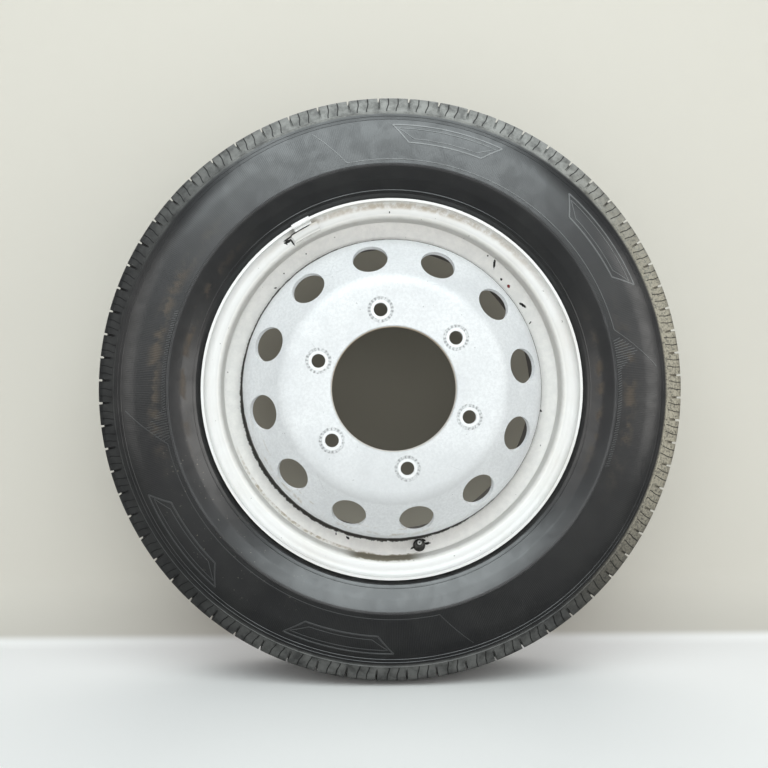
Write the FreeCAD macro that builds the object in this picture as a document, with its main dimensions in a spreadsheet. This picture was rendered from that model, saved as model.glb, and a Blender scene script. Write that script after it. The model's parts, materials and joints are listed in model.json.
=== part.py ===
import FreeCAD, Part
import math
import os
from types import SimpleNamespace

import Sketcher

# A pressed-steel van wheel with its tyre fitted, in millimetres and degrees.
# The wheel's axis is Y and its outer face looks towards -Y. The origin is on the axis
# at the hub seat, the flat back of the disc that bolts against the hub.
# Axial places are first given as a distance outboard from the rim's middle plane.
driving = {
    # Whole wheel
    "outset": 109.5,
    "valve_clock": -80.0,
    # Rim: one rolled band of even gauge
    "rim_width": 139.7,
    "bead_radius": 202.8,
    "rim_gauge": 3.0,
    "flange_height": 17.3,
    "flange_reach": 13.0,
    "flange_bend": 9.5,
    "heel_bend": 6.5,
    "seat_taper": 5.0,
    "seat_length": 19.0,
    "hump_height": 1.2,
    "hump_run": 4.85,
    "hump_bend": 4.2,
    "wall_angle": 72.0,
    "well_radius": 178.6,
    "well_inboard_edge": 8.0,
    "well_bend": 6.0,
    # Disc: one pressed dish, thinned from the hub seat to the edge
    "bore_radius": 69.4,
    "bore_chamfer": 2.0,
    "hub_gauge": 8.0,
    "edge_gauge": 4.6,
    "face_radius": 124.0,
    "dish_slope": 37.0,
    "face_bend": 25.0,
    "edge_bend": 33.0,
    "disc_edge_place": 12.0,
    "disc_fit": 0.1,
    "stud_circle": 180.0,
    "stud_hole": 15.6,
    "stud_count": 6,
    "stud_clock": 39.6,
    "vent_circle": 300.0,
    "vent_hole": 40.0,
    "vent_count": 12,
    "vent_clock": 10.2,
    # Welds between the disc's edge and the well
    "weld_leg": 4.0,
    "weld_crown": 3.0,
    "weld_arc": 26.0,
    "weld_count": 6,
    # Tyre
    "tyre_radius": 345.0,
    "tyre_width": 196.0,
    "widest_radius": 282.0,
    "crown_flat": 76.0,
    "crown_bend": 40.0,
    "tread_width": 152.0,
    "shoulder_drop": 7.0,
    "shoulder_bend": 14.0,
    "panel_radius": 300.0,
    "panel_drop": 5.5,
    "panel_bend": 70.0,
    "crease_radius": 255.5,
    "crease_drop": 0.3,
    "crease_bend": 9.0,
    "lower_radius": 241.0,
    "lower_drop": 7.7,
    "lower_bend": 30.0,
    "clinch_rise": 11.4,
    "clinch_bend": 4.5,
    "tread_gauge": 15.0,
    "side_gauge": 9.8,
    "liner_bend": 55.0,
    "liner_corner": 20.0,
    "bead_gauge": 16.0,
    "bead_height": 10.0,
    "bead_fit": 0.3,
    "toe_bend": 1.5,
    "groove_width": 9.0,
    "groove_floor": 6.3,
    "groove_depth": 5.5,
    "groove_inner_place": 16.0,
    "groove_outer_place": 47.0,
    "slot_width": 2.6,
    "slot_depth": 4.5,
    "slot_foot_radius": 322.5,
    "slot_count": 68,
    "slot_clock": 92.8,
    "slot_swing": 4.3,
    "slot_waves": 2,
    # Valve, measured from the rim's wall along its own axis
    "valve_radius_place": 189.0,
    "valve_hole": 11.3,
    "valve_fit": 0.1,
    "valve_inner_height": 7.4,
    "valve_head_radius": 7.3,
    "valve_foot_radius": 6.0,
    "valve_collar_radius": 7.3,
    "valve_collar_height": 3.2,
    "valve_neck_radius": 4.75,
    "valve_cone_height": 3.3,
    "valve_cone_lead": 0.5,
    "valve_rubber_height": 13.0,
    "tube_radius": 3.25,
    "tube_bore": 1.9,
    "tube_thread_radius": 3.85,
    "tube_mouth": 2.55,
    "tube_height": 21.5,
    "core_seat_height": 13.5,
    "core_cone_height": 1.0,
    "core_barrel_radius": 1.75,
    "core_barrel_bore": 0.95,
    "core_barrel_foot": 4.0,
    "core_ledge": 0.6,
    "core_plug_height": 4.2,
    "core_plug_depth": 1.3,
    "core_seal_height": 2.3,
    "core_wall": 0.45,
    "core_fit": 0.1,
    "pin_radius": 0.42,
    "pin_play": 0.13,
    "pin_nut_radius": 0.84,
    "pin_nut_height": 0.84,
    "pin_depth": 0.6,
    "pin_collar_radius": 0.8,
    "pin_collar_height": 0.6,
    "cup_radius": 1.7,
    "cup_height": 2.35,
    "cup_foot_radius": 1.28,
    "cup_flare": 1.41,
    "spring_length": 7.85,
    "spring_wire": 0.2,
    "spring_turns": 6,
    "spring_chords": 8,
    "cap_radius": 4.6,
    "cap_top_radius": 4.25,
    "cap_roof": 1.1,
    "cap_fit": 0.15,
    "cap_rest": 0.3,
    "cap_dimple_radius": 0.9,
    "cap_dimple_depth": 0.4,
    "gasket_height": 0.5,
    "gasket_fit": 0.05,
    # Balance weight, clipped on the outer flange
    "weight_clock": 119.0,
    "weight_length": 33.0,
    "weight_height": 11.0,
    "weight_depth": 7.0,
    "weight_drop": 4.4,
    "weight_fit": 0.35,
    "weight_nose": 2.8,
    "weight_nose_bend": 1.7,
    "weight_bend": 1.0,
    "clip_length": 22.4,
    "clip_gauge": 1.2,
    "clip_hook": 4.8,
    "clip_stem": 4.4,
    "clip_fit": 0.3,
    "clip_bend": 0.6,
    "clip_seat": 0.05,
}


class Size:
    """A number together with the sheet expression that gives it."""

    def __init__(self, value, text):
        self.value = value
        self.text = text

    def joined(self, mark, other, value):
        return Size(value, f"({self.text} {mark} {other.text})")

    def __add__(self, other):
        other = as_size(other)
        return self.joined("+", other, self.value + other.value)

    def __sub__(self, other):
        other = as_size(other)
        return self.joined("-", other, self.value - other.value)

    def __mul__(self, other):
        other = as_size(other)
        return self.joined("*", other, self.value * other.value)

    def __truediv__(self, other):
        other = as_size(other)
        return self.joined("/", other, self.value / other.value)

    def __neg__(self):
        return Size(-self.value, f"(0 - {self.text})")

    def __radd__(self, other):
        return as_size(other) + self

    def __rsub__(self, other):
        return as_size(other) - self

    def __rmul__(self, other):
        return as_size(other) * self


def as_size(item):
    if isinstance(item, Size):
        return item
    return Size(float(item), f"({float(item)})")


def sine(angle):
    return Size(math.sin(math.radians(angle.value)), f"sin({angle.text})")


def cosine(angle):
    return Size(math.cos(math.radians(angle.value)), f"cos({angle.text})")


def tangent(angle):
    return Size(math.tan(math.radians(angle.value)), f"tan({angle.text})")


def arc_degrees(length, radius):
    return length / radius * (180.0 / math.pi)


doc = FreeCAD.newDocument("van_wheel")
sheet = doc.addObject("Spreadsheet::Sheet", "Sizes")
for row, (alias, number) in enumerate(driving.items(), start=1):
    sheet.set(f"A{row}", alias)
    sheet.set(f"B{row}", str(number))
    sheet.setAlias(f"B{row}", alias)
doc.recompute()
dim = SimpleNamespace(**{alias: Size(float(number), f"Sizes.{alias}") for alias, number in driving.items()})
sub_parts = []


def bind(thing, name, size):
    thing.setExpression(name, as_size(size).text)


def finish(thing, label):
    thing.Label = label
    sub_parts.append(thing)


def axial(outboard):
    """The Y place of a distance outboard from the rim's middle plane."""
    return dim.outset - outboard


def origin_plane(body, role):
    return next(item for item in body.Origin.OriginFeatures if item.Role == role)


def new_sketch(body, name, role):
    sketch = body.newObject("Sketcher::SketchObject", name)
    sketch.AttachmentSupport = [(origin_plane(body, role), "")]
    sketch.MapMode = "FlatFace"
    return sketch


def rounding(before, corner, after, radius):
    """Where an arc of this radius leaves and joins the two lines of a corner, and its middle."""
    back = (before - corner).normalize()
    ahead = (after - corner).normalize()
    half = back.getAngle(ahead) / 2
    reach = radius / math.tan(half)
    inward = (back + ahead).normalize()
    middle = corner + inward * (radius / math.sin(half) - radius)
    return corner + back * reach, middle, corner + ahead * reach


class Drawing:
    """A sketch whose constraints are gathered first and added in one go."""

    def __init__(self, sketch):
        self.sketch = sketch
        self.constraints = []
        self.bound = {}

    def constrain(self, *terms, size=None):
        if size is not None:
            self.bound[len(self.constraints)] = size
            terms = (*terms, size.value)
        self.constraints.append(Sketcher.Constraint(*terms))

    def hold_point(self, held, x, y):
        self.constrain("DistanceX", -1, 1, *held, size=x)
        self.constrain("DistanceY", -1, 1, *held, size=y)

    def round_corner(self, arc, line_in, line_out, spot, start, row):
        point = self.sketch.getPoint
        near_first = point(arc, 1).distanceToPoint(start) < point(arc, 2).distanceToPoint(start)
        first, last = (1, 2) if near_first else (2, 1)
        corner = self.sketch.addGeometry(Part.Point(spot), True)
        self.constrain("Tangent", line_in, 2, arc, first)
        self.constrain("Tangent", arc, last, line_out, 1)
        self.constrain("Radius", arc, size=row[2])
        self.constrain("PointOnObject", corner, 1, line_in)
        self.constrain("PointOnObject", corner, 1, line_out)
        self.hold_point((corner, 1), row[0], row[1])

    def outline(self, corners, closed=True):
        """Lines through the corners, each corner (x, y) or (x, y, radius) held by the sheet."""
        rows = [[as_size(item) for item in corner] for corner in corners]
        spots = [FreeCAD.Vector(row[0].value, row[1].value, 0) for row in rows]
        count = len(rows)
        leave = list(spots)
        join = list(spots)
        arcs = {}
        for i, row in enumerate(rows):
            if len(row) > 2:
                first, middle, last = rounding(spots[i - 1], spots[i], spots[(i + 1) % count], row[2].value)
                leave[i], join[i] = last, first
                arcs[i] = self.sketch.addGeometry(Part.Arc(first, middle, last))
        spans = count if closed else count - 1
        lines = []
        for i in range(spans):
            lines.append(self.sketch.addGeometry(Part.LineSegment(leave[i], join[(i + 1) % count])))
        for i, row in enumerate(rows):
            line_in = lines[i - 1] if closed or i > 0 else None
            line_out = lines[i] if i < spans else None
            if i in arcs:
                self.round_corner(arcs[i], line_in, line_out, spots[i], join[i], row)
                continue
            if line_in is not None and line_out is not None:
                self.constrain("Coincident", line_in, 2, line_out, 1)
            held = (line_out, 1) if line_out is not None else (line_in, 2)
            self.hold_point(held, row[0], row[1])

    def settle(self):
        first = len(self.sketch.Constraints)
        self.sketch.addConstraint(self.constraints)
        for number, size in self.bound.items():
            self.sketch.setExpression(f"Constraints[{first + number}]", size.text)


def draw_outlines(sketch, *outlines, closed=True):
    drawing = Drawing(sketch)
    for corners in outlines:
        drawing.outline(corners, closed)
    drawing.settle()


def turned_body(label, corners, role="XY_Plane", angle=None):
    """A body turned from one closed outline about the sketch's upright axis."""
    body = doc.addObject("PartDesign::Body", label + "_body")
    sketch = new_sketch(body, label + "_outline", role)
    draw_outlines(sketch, corners)
    turn = body.newObject("PartDesign::Revolution", label + "_turn")
    turn.Profile = sketch
    turn.ReferenceAxis = (sketch, ["V_Axis"])
    turn.Angle = 360
    if angle is not None:
        turn.Midplane = True
        bind(turn, "Angle", angle)
    return body


def repeat_around(body, feature, count, name):
    """Copies of a feature about the wheel's axis."""
    pattern = body.newObject("PartDesign::PolarPattern", name)
    pattern.Originals = [feature]
    pattern.Axis = (origin_plane(body, "Y_Axis"), [""])
    pattern.Angle = 360
    bind(pattern, "Occurrences", count)
    body.Tip = pattern


def bent_strip(name, corners, gauge):
    """The section of a sheet that follows an open line of corners."""
    line = doc.addObject("Sketcher::SketchObject", name + "_line")
    draw_outlines(line, corners, closed=False)
    section = doc.addObject("Part::Offset2D", name + "_section")
    section.Source = line
    section.Mode = "Skin"
    section.Fill = True
    section.Join = "Intersection"
    bind(section, "Value", gauge)
    ring = doc.addObject("Part::Revolution", name + "_turn")
    ring.Source = section
    ring.Axis = FreeCAD.Vector(0, 1, 0)
    ring.Angle = 360
    ring.Solid = True
    return ring


def about_axis(clock, then=""):
    """The rotation that brings +X round to a clock angle, after any turns given."""
    return f"rotation(vector(0; 1; 0); 0 - ({as_size(clock).text})){then}"


def place(thing, spot, rotation):
    x, y, z = [as_size(item).text for item in spot]
    thing.setExpression("Placement", f"placement(vector({x}; {y}; {z}); {rotation})")


def around(radius, y, clock):
    return radius * cosine(clock), y, radius * sine(clock)


# Places on the rim that other pieces are set against
flange_plane = dim.rim_width / 2
flange_top = dim.bead_radius + dim.flange_height
lip_end = flange_plane + dim.flange_reach
seat_end = flange_plane - dim.seat_length
seat_end_radius = dim.bead_radius - dim.seat_length * tangent(dim.seat_taper)
hump_place = seat_end - dim.hump_run
hump_radius = seat_end_radius + dim.hump_height
wall_foot = hump_place - (hump_radius - dim.well_radius) / tangent(dim.wall_angle)
well_inside = dim.well_radius - dim.rim_gauge
valve_tilt = 90 - dim.wall_angle

# The valve sits square on the wall's outboard face, pointing outboard and in to the axis.
wall_face_place = hump_place + dim.rim_gauge * sine(dim.wall_angle)
wall_face_radius = hump_radius - dim.rim_gauge * cosine(dim.wall_angle)
valve_place = wall_face_place - (wall_face_radius - dim.valve_radius_place) / tangent(dim.wall_angle)
valve_spot = around(dim.valve_radius_place, axial(valve_place), dim.valve_clock)
valve_turn = about_axis(
    dim.valve_clock,
    f" * rotation(vector(0; 0; 1); 0 - {valve_tilt.text}) * rotation(vector(1; 0; 0); 90)",
)


def half_rim(side):
    """The tyre side of the band from a lip to the hump, outboard for +1 and inboard for -1."""
    return [
        (flange_top, axial(side * lip_end)),
        (flange_top, axial(side * flange_plane), dim.flange_bend),
        (dim.bead_radius, axial(side * flange_plane), dim.heel_bend),
        (seat_end_radius, axial(side * seat_end)),
        (hump_radius, axial(side * hump_place), dim.hump_bend),
    ]


def make_rim():
    well = [
        (dim.well_radius, axial(wall_foot), dim.well_bend),
        (dim.well_radius, axial(-dim.well_inboard_edge), dim.well_bend),
    ]
    band = bent_strip("rim", half_rim(1) + well + half_rim(-1)[::-1], -dim.rim_gauge)
    hole = doc.addObject("Part::Cylinder", "valve_hole")
    bind(hole, "Radius", dim.valve_hole / 2)
    bind(hole, "Height", dim.rim_gauge * 4)
    start = -dim.rim_gauge * 2
    x, y, z = valve_spot
    sunk = (
        x - start * sine(valve_tilt) * cosine(dim.valve_clock),
        y - start * cosine(valve_tilt),
        z - start * sine(valve_tilt) * sine(dim.valve_clock),
    )
    place(hole, sunk, valve_turn)
    rim = doc.addObject("Part::Cut", "rim_cut")
    rim.Base = band
    rim.Tool = hole
    finish(rim, "rim")


# The dish: hub face, slope through the vents, bend, and the edge that is pressed into the well
face_place = dim.outset + dim.hub_gauge
disc_edge_radius = well_inside - dim.disc_fit
slope_drop = tangent(dim.dish_slope)
back_shift = dim.edge_gauge / cosine(dim.dish_slope)


def front_slope(radius):
    return face_place - (radius - dim.face_radius) * slope_drop


def make_disc():
    inner_edge = disc_edge_radius - dim.edge_gauge
    back_face_radius = dim.face_radius + (dim.hub_gauge - back_shift) / slope_drop
    corners = [
        (dim.bore_radius, axial(face_place - dim.bore_chamfer)),
        (dim.bore_radius + dim.bore_chamfer, axial(face_place)),
        (dim.face_radius, axial(face_place), dim.face_bend),
        (disc_edge_radius, axial(front_slope(disc_edge_radius)), dim.edge_bend),
        (disc_edge_radius, axial(dim.disc_edge_place)),
        (inner_edge, axial(dim.disc_edge_place)),
        (inner_edge, axial(front_slope(inner_edge) - back_shift), dim.edge_bend - dim.edge_gauge),
        (back_face_radius, axial(dim.outset), dim.face_bend + dim.edge_gauge),
        (dim.bore_radius, axial(dim.outset)),
    ]
    body = turned_body("disc", corners)
    holes = new_sketch(body, "stud_circle", "XZ_Plane")
    x, _, z = around(dim.stud_circle / 2, 0, dim.stud_clock)
    middle = FreeCAD.Vector(x.value, z.value, 0)
    ring = holes.addGeometry(Part.Circle(middle, FreeCAD.Vector(0, 0, 1), dim.stud_hole.value / 2))
    drawing = Drawing(holes)
    drawing.hold_point((ring, 3), x, z)
    drawing.constrain("Radius", ring, size=dim.stud_hole / 2)
    drawing.settle()
    doc.recompute()
    punch = body.newObject("PartDesign::Pocket", "stud_punch")
    punch.Profile = holes
    punch.Type = "ThroughAll"
    punch.Midplane = True
    repeat_around(body, punch, dim.stud_count, "stud_holes")
    doc.recompute()
    vent = body.newObject("PartDesign::SubtractiveCylinder", "vent_punch")
    bind(vent, "Radius", dim.vent_hole / 2)
    bind(vent, "Height", dim.vent_hole)
    vent_radius = dim.vent_circle / 2
    half = dim.vent_hole / 2
    start_radius = vent_radius - half * sine(dim.dish_slope)
    start_place = front_slope(vent_radius) - half * cosine(dim.dish_slope)
    turn = about_axis(
        dim.vent_clock,
        f" * rotation(vector(0; 0; 1); {dim.dish_slope.text}) * rotation(vector(1; 0; 0); 90)",
    )
    place(vent, around(start_radius, axial(start_place), dim.vent_clock), turn)
    repeat_around(body, vent, dim.vent_count, "vents")
    finish(body, "disc")


def make_welds():
    outer = well_inside - dim.disc_fit
    root = axial(dim.disc_edge_place)
    corners = [
        (outer, root),
        (outer, root + dim.weld_leg),
        (outer - dim.weld_leg / 2, root + dim.weld_crown, dim.weld_leg / 2),
        (outer - dim.weld_leg, root),
    ]
    body = turned_body("weld_beads", corners, angle=dim.weld_arc)
    repeat_around(body, body.Tip, dim.weld_count, "weld_ring")
    finish(body, "weld_beads")


# The tyre's section, outboard half first, as corners of (radius, outboard place, bend)
half_width = dim.tyre_width / 2
half_tread = dim.tread_width / 2
shoulder_radius = dim.tyre_radius - dim.shoulder_drop
bead_face = flange_plane - dim.bead_fit
tread_pitch = dim.shoulder_drop / (half_tread - dim.crown_flat / 2)


def tread_surface(place_out):
    """The tread's radius on its sloping outer part."""
    return dim.tyre_radius - (place_out - dim.crown_flat / 2) * tread_pitch


def crown(_):
    return dim.tyre_radius


def groove(centre, top_at):
    """Corners of one groove round the tread, from its outboard lip to its inboard one."""
    half = dim.groove_width / 2
    narrow = dim.groove_floor / 2
    floor = top_at(centre) - dim.groove_depth
    return [
        (top_at(centre + half), centre + half),
        (floor, centre + narrow),
        (floor, centre - narrow),
        (top_at(centre - half), centre - half),
    ]


def tyre_outer_half():
    """From the outer groove out over the shoulder, down the side wall and round the bead to its toe."""
    hug = dim.flange_bend + dim.bead_fit
    flange_middle = flange_top - dim.flange_bend
    clinch_foot = flange_middle + hug * (2 ** 0.5) - hug
    seat_rise = dim.bead_fit / cosine(dim.seat_taper)
    toe = flange_plane - dim.bead_gauge
    toe_radius = dim.bead_radius - dim.bead_gauge * tangent(dim.seat_taper) + seat_rise
    return [
        (shoulder_radius, half_tread, dim.shoulder_bend),
        (dim.panel_radius, half_width - dim.panel_drop, dim.panel_bend),
        (dim.crease_radius, half_width - dim.crease_drop, dim.crease_bend),
        (dim.lower_radius, half_width - dim.lower_drop, dim.lower_bend),
        (clinch_foot + dim.clinch_rise, bead_face + dim.clinch_rise, dim.clinch_bend),
        (clinch_foot, bead_face, hug),
        (dim.bead_radius + seat_rise, bead_face, dim.heel_bend),
        (toe_radius, toe, dim.toe_bend),
    ]


def tyre_inner_half():
    """The liner from the bead up to the crown."""
    return [
        (dim.bead_radius + dim.bead_height, flange_plane - dim.bead_gauge, dim.flange_bend),
        (dim.widest_radius, half_width, dim.liner_bend),
        (dim.tyre_radius - dim.tread_gauge, half_tread - dim.side_gauge, dim.liner_corner),
    ]


def on_side(corners, side):
    """Sketch corners outboard for +1, or inboard and in the other order for -1."""
    placed = [(corner[0], axial(side * corner[1]), *corner[2:]) for corner in corners]
    return placed if side > 0 else placed[::-1]


def make_tyre():
    tread = groove(dim.groove_outer_place, tread_surface)
    tread += [(dim.tyre_radius, dim.crown_flat / 2, dim.crown_bend)]
    tread += groove(dim.groove_inner_place, crown)
    wall = tyre_outer_half()[::-1]
    liner = tyre_inner_half()[::-1]
    corners = on_side(wall + tread, 1) + on_side(wall + tread, -1)
    corners += on_side(liner, -1) + on_side(liner, 1)
    casing = turned_body("tyre", corners)
    tyre = doc.addObject("Part::Cut", "tyre_cut")
    tyre.Base = casing
    tyre.Tool = shoulder_slots()
    finish(tyre, "tyre")


def shoulder_slots():
    """Slots across both shoulders, from the outer groove out over the edge of the tread."""
    start = dim.groove_outer_place
    edge = (half_tread + half_width) / 2
    roof = dim.tyre_radius + dim.slot_depth
    corners = [
        (tread_surface(start) - dim.slot_depth, start),
        (tread_surface(half_tread) - dim.slot_depth, half_tread - dim.slot_depth),
        (dim.slot_foot_radius, edge - dim.slot_depth / 2),
        (dim.slot_foot_radius, half_width),
        (roof, half_width),
        (roof, start),
    ]
    sketch = doc.addObject("Sketcher::SketchObject", "slot_outline")
    draw_outlines(sketch, on_side(corners, 1), on_side(corners, -1))
    pair = doc.addObject("Part::Extrusion", "slot_pair")
    pair.Base = sketch
    pair.DirMode = "Normal"
    pair.Solid = True
    pair.Symmetric = True
    bind(pair, "LengthFwd", dim.slot_width)
    doc.recompute()
    count = int(dim.slot_count.value)
    slots = []
    for i in range(count):
        even = 360.0 * i / count
        sway = dim.slot_swing.value * math.sin(math.radians(dim.slot_waves.value * even))
        slot = pair.Shape.copy()
        slot.rotate(FreeCAD.Vector(0, 0, 0), FreeCAD.Vector(0, 1, 0), -(dim.slot_clock.value + even + sway))
        slots.append(slot)
    ring = doc.addObject("Part::Feature", "shoulder_slots")
    ring.Shape = Part.makeCompound(slots)
    return ring


def turned_on_valve(label, corners):
    body = turned_body(label, corners, role="XZ_Plane")
    place(body, valve_spot, valve_turn)
    finish(body, label)
    return body


def make_valve():
    inner_end = -(dim.rim_gauge + dim.valve_inner_height)
    rubber_bore = dim.tube_radius + dim.valve_fit / 2
    neck = dim.valve_hole / 2 - dim.valve_fit
    collar_top = dim.valve_collar_height
    cone_radius = dim.valve_neck_radius + dim.valve_cone_lead
    turned_on_valve("valve_body", [
        (rubber_bore, inner_end),
        (dim.valve_foot_radius, inner_end),
        (dim.valve_head_radius, -dim.rim_gauge - dim.valve_inner_height / 2),
        (dim.valve_head_radius, -dim.rim_gauge - dim.valve_fit),
        (neck, -dim.rim_gauge - dim.valve_fit),
        (neck, dim.valve_fit),
        (dim.valve_collar_radius, dim.valve_fit),
        (dim.valve_collar_radius, collar_top),
        (cone_radius, collar_top + dim.valve_cone_height, dim.valve_neck_radius),
        (dim.valve_neck_radius, dim.valve_rubber_height),
        (rubber_bore, dim.valve_rubber_height),
    ])
    step = dim.valve_rubber_height + dim.valve_fit
    lead = dim.tube_thread_radius - dim.tube_radius
    turned_on_valve("valve_tube", [
        (dim.tube_bore, inner_end),
        (dim.tube_radius, inner_end),
        (dim.tube_radius, step),
        (dim.tube_thread_radius, step),
        (dim.tube_thread_radius, dim.tube_height - lead),
        (dim.tube_thread_radius - lead, dim.tube_height),
        (dim.tube_mouth, dim.tube_height),
        (dim.tube_mouth, core_cone_top),
        (dim.tube_bore, dim.core_seat_height),
    ])


# Heights along the valve that the core's pieces share
core_cone_top = dim.core_seat_height + dim.core_cone_height
plug_top = dim.tube_height - dim.core_plug_depth
plug_foot = plug_top - dim.core_plug_height
barrel_step = dim.core_seat_height + dim.core_fit
barrel_neck = dim.core_barrel_bore + dim.core_wall
ledge_top = dim.core_barrel_foot + dim.core_ledge
collar_foot = ledge_top + dim.spring_length
cup_foot = dim.core_barrel_foot - dim.core_fit - dim.cup_height
pin_top = dim.tube_height - dim.pin_depth


def make_core():
    bore = dim.core_barrel_bore
    plug_radius = dim.tube_mouth - dim.core_fit
    turned_on_valve("valve_core_plug", [
        (bore, plug_foot),
        (plug_radius, plug_foot),
        (plug_radius, plug_top),
        (bore, plug_top),
    ])
    barrel_top = plug_foot - dim.core_fit / 2
    ledge_bore = dim.pin_radius + dim.pin_play
    turned_on_valve("valve_core_barrel", [
        (ledge_bore, dim.core_barrel_foot),
        (dim.core_barrel_radius, dim.core_barrel_foot),
        (dim.core_barrel_radius, barrel_step),
        (barrel_neck, barrel_step),
        (barrel_neck, barrel_top),
        (bore, barrel_top),
        (bore, ledge_top),
        (ledge_bore, ledge_top),
    ])
    seal_foot = barrel_step + dim.core_fit / 2
    turned_on_valve("valve_core_seal", [
        (barrel_neck + dim.core_fit / 2, seal_foot),
        (dim.tube_bore - dim.core_fit / 2, seal_foot),
        (plug_radius, core_cone_top + dim.core_fit),
        (plug_radius, seal_foot + dim.core_seal_height),
        (barrel_neck + dim.core_fit / 2, seal_foot + dim.core_seal_height),
    ])
    nut_foot = cup_foot - dim.pin_nut_height
    turned_on_valve("valve_core_pin", [
        (0, nut_foot),
        (dim.pin_nut_radius, nut_foot),
        (dim.pin_nut_radius, cup_foot - dim.core_fit / 2),
        (dim.pin_radius, cup_foot - dim.core_fit / 2),
        (dim.pin_radius, collar_foot + dim.core_fit / 2),
        (dim.pin_collar_radius, collar_foot + dim.core_fit / 2),
        (dim.pin_collar_radius, collar_foot + dim.pin_collar_height),
        (dim.pin_radius, collar_foot + dim.pin_collar_height),
        (dim.pin_radius, pin_top),
        (0, pin_top),
    ])
    cup_bore = dim.pin_radius + dim.core_fit / 2
    turned_on_valve("valve_core_cup", [
        (cup_bore, cup_foot),
        (dim.cup_foot_radius, cup_foot),
        (dim.cup_radius, cup_foot + dim.cup_flare),
        (dim.cup_radius, cup_foot + dim.cup_height),
        (cup_bore, cup_foot + dim.cup_height),
    ])
    make_spring()


def make_spring():
    """A square-wire coil of straight chords between the barrel's ledge and the pin's collar."""
    wire = dim.spring_wire.value
    middle = (dim.pin_collar_radius.value + dim.pin_radius.value) / 2 + wire / 2
    turns = int(round(dim.spring_turns.value))
    chords = turns * int(round(dim.spring_chords.value))
    rise = (dim.spring_length.value - 2 * wire) / chords
    foot = ledge_top.value + wire
    spots = []
    for i in range(chords + 1):
        angle = 2 * math.pi * i * turns / chords
        spots.append(FreeCAD.Vector(middle * math.cos(angle), middle * math.sin(angle), foot + rise * i))
    path = Part.makePolygon(spots)
    half = wire / 2
    corner = [(-half, -half), (half, -half), (half, half), (-half, half), (-half, -half)]
    square = Part.makePolygon([FreeCAD.Vector(middle + x, 0, foot + z) for x, z in corner])
    spring = doc.addObject("Part::Feature", "valve_core_spring_coil")
    spring.Shape = path.makePipeShell([square], True, False, 1)
    place(spring, valve_spot, valve_turn)
    finish(spring, "valve_core_spring")


def make_cap():
    foot = dim.valve_rubber_height + dim.cap_rest
    bore = dim.tube_thread_radius + dim.cap_fit
    gasket_foot = dim.tube_height + dim.cap_fit
    ceiling = gasket_foot + dim.gasket_height + dim.gasket_fit
    top = ceiling + dim.cap_roof
    dimple = top - dim.cap_dimple_depth
    turned_on_valve("valve_cap", [
        (bore, foot),
        (dim.cap_radius, foot),
        (dim.cap_top_radius, top - dim.cap_roof),
        (dim.cap_top_radius - dim.cap_roof, top),
        (dim.cap_dimple_radius, top),
        (dim.cap_dimple_radius, dimple),
        (0, dimple),
        (0, ceiling),
        (bore, ceiling),
    ])
    turned_on_valve("valve_cap_gasket", [
        (0, gasket_foot),
        (bore - dim.cap_fit, gasket_foot),
        (bore - dim.cap_fit, gasket_foot + dim.gasket_height),
        (0, gasket_foot + dim.gasket_height),
    ])


def make_weight():
    lip_under = flange_top - dim.rim_gauge
    flange_face = flange_plane + dim.rim_gauge
    top = lip_under - dim.weight_drop
    foot = top - dim.weight_height
    back = axial(flange_face + dim.weight_fit)
    front = axial(flange_face + dim.weight_fit + dim.weight_depth)
    body = turned_body(
        "balance_weight",
        [
            (top, back, dim.weight_bend),
            (top, front, dim.weight_bend),
            (foot + dim.weight_nose, front, dim.weight_nose),
            (foot, front + dim.weight_nose, dim.weight_nose_bend),
            (foot, back, dim.weight_bend),
        ],
        angle=arc_degrees(dim.weight_length, top - dim.weight_height / 2),
    )
    place(body, (0, 0, 0), about_axis(dim.weight_clock))
    finish(body, "balance_weight")
    stem = axial(lip_end - dim.clip_stem)
    under = lip_under - dim.clip_fit
    ahead = axial(lip_end + dim.clip_fit)
    over = flange_top + dim.clip_fit
    clip = bent_strip(
        "balance_clip",
        [
            (top + dim.clip_seat, stem),
            (under, stem, dim.clip_bend),
            (under, ahead, dim.clip_bend),
            (over, ahead, dim.clip_bend),
            (over, axial(lip_end + dim.clip_fit - dim.clip_hook)),
        ],
        dim.clip_gauge,
    )
    clip.Symmetric = True
    bind(clip, "Angle", arc_degrees(dim.clip_length, flange_top))
    place(clip, (0, 0, 0), about_axis(dim.weight_clock))
    finish(clip, "balance_clip")


make_rim()
make_disc()
make_welds()
make_tyre()
make_valve()
make_core()
make_cap()
make_weight()
doc.recompute()

for item in doc.Objects:
    if "Invalid" in item.State or "Error" in item.State:
        raise RuntimeError(f"{item.Name} failed: {item.State}")
for item in sub_parts:
    if item.Shape.isNull() or not item.Shape.isValid():
        raise RuntimeError(f"{item.Label} has no valid shape")

os.makedirs("parts", exist_ok=True)
for item in sub_parts:
    item.Shape.exportStep(f"parts/{item.Label}.step")
    solids = item.Shape.Solids
    print(item.Label, len(solids), "solids", round(item.Shape.Volume), "mm3", item.Shape.BoundBox)
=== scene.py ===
import json
import math

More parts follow.
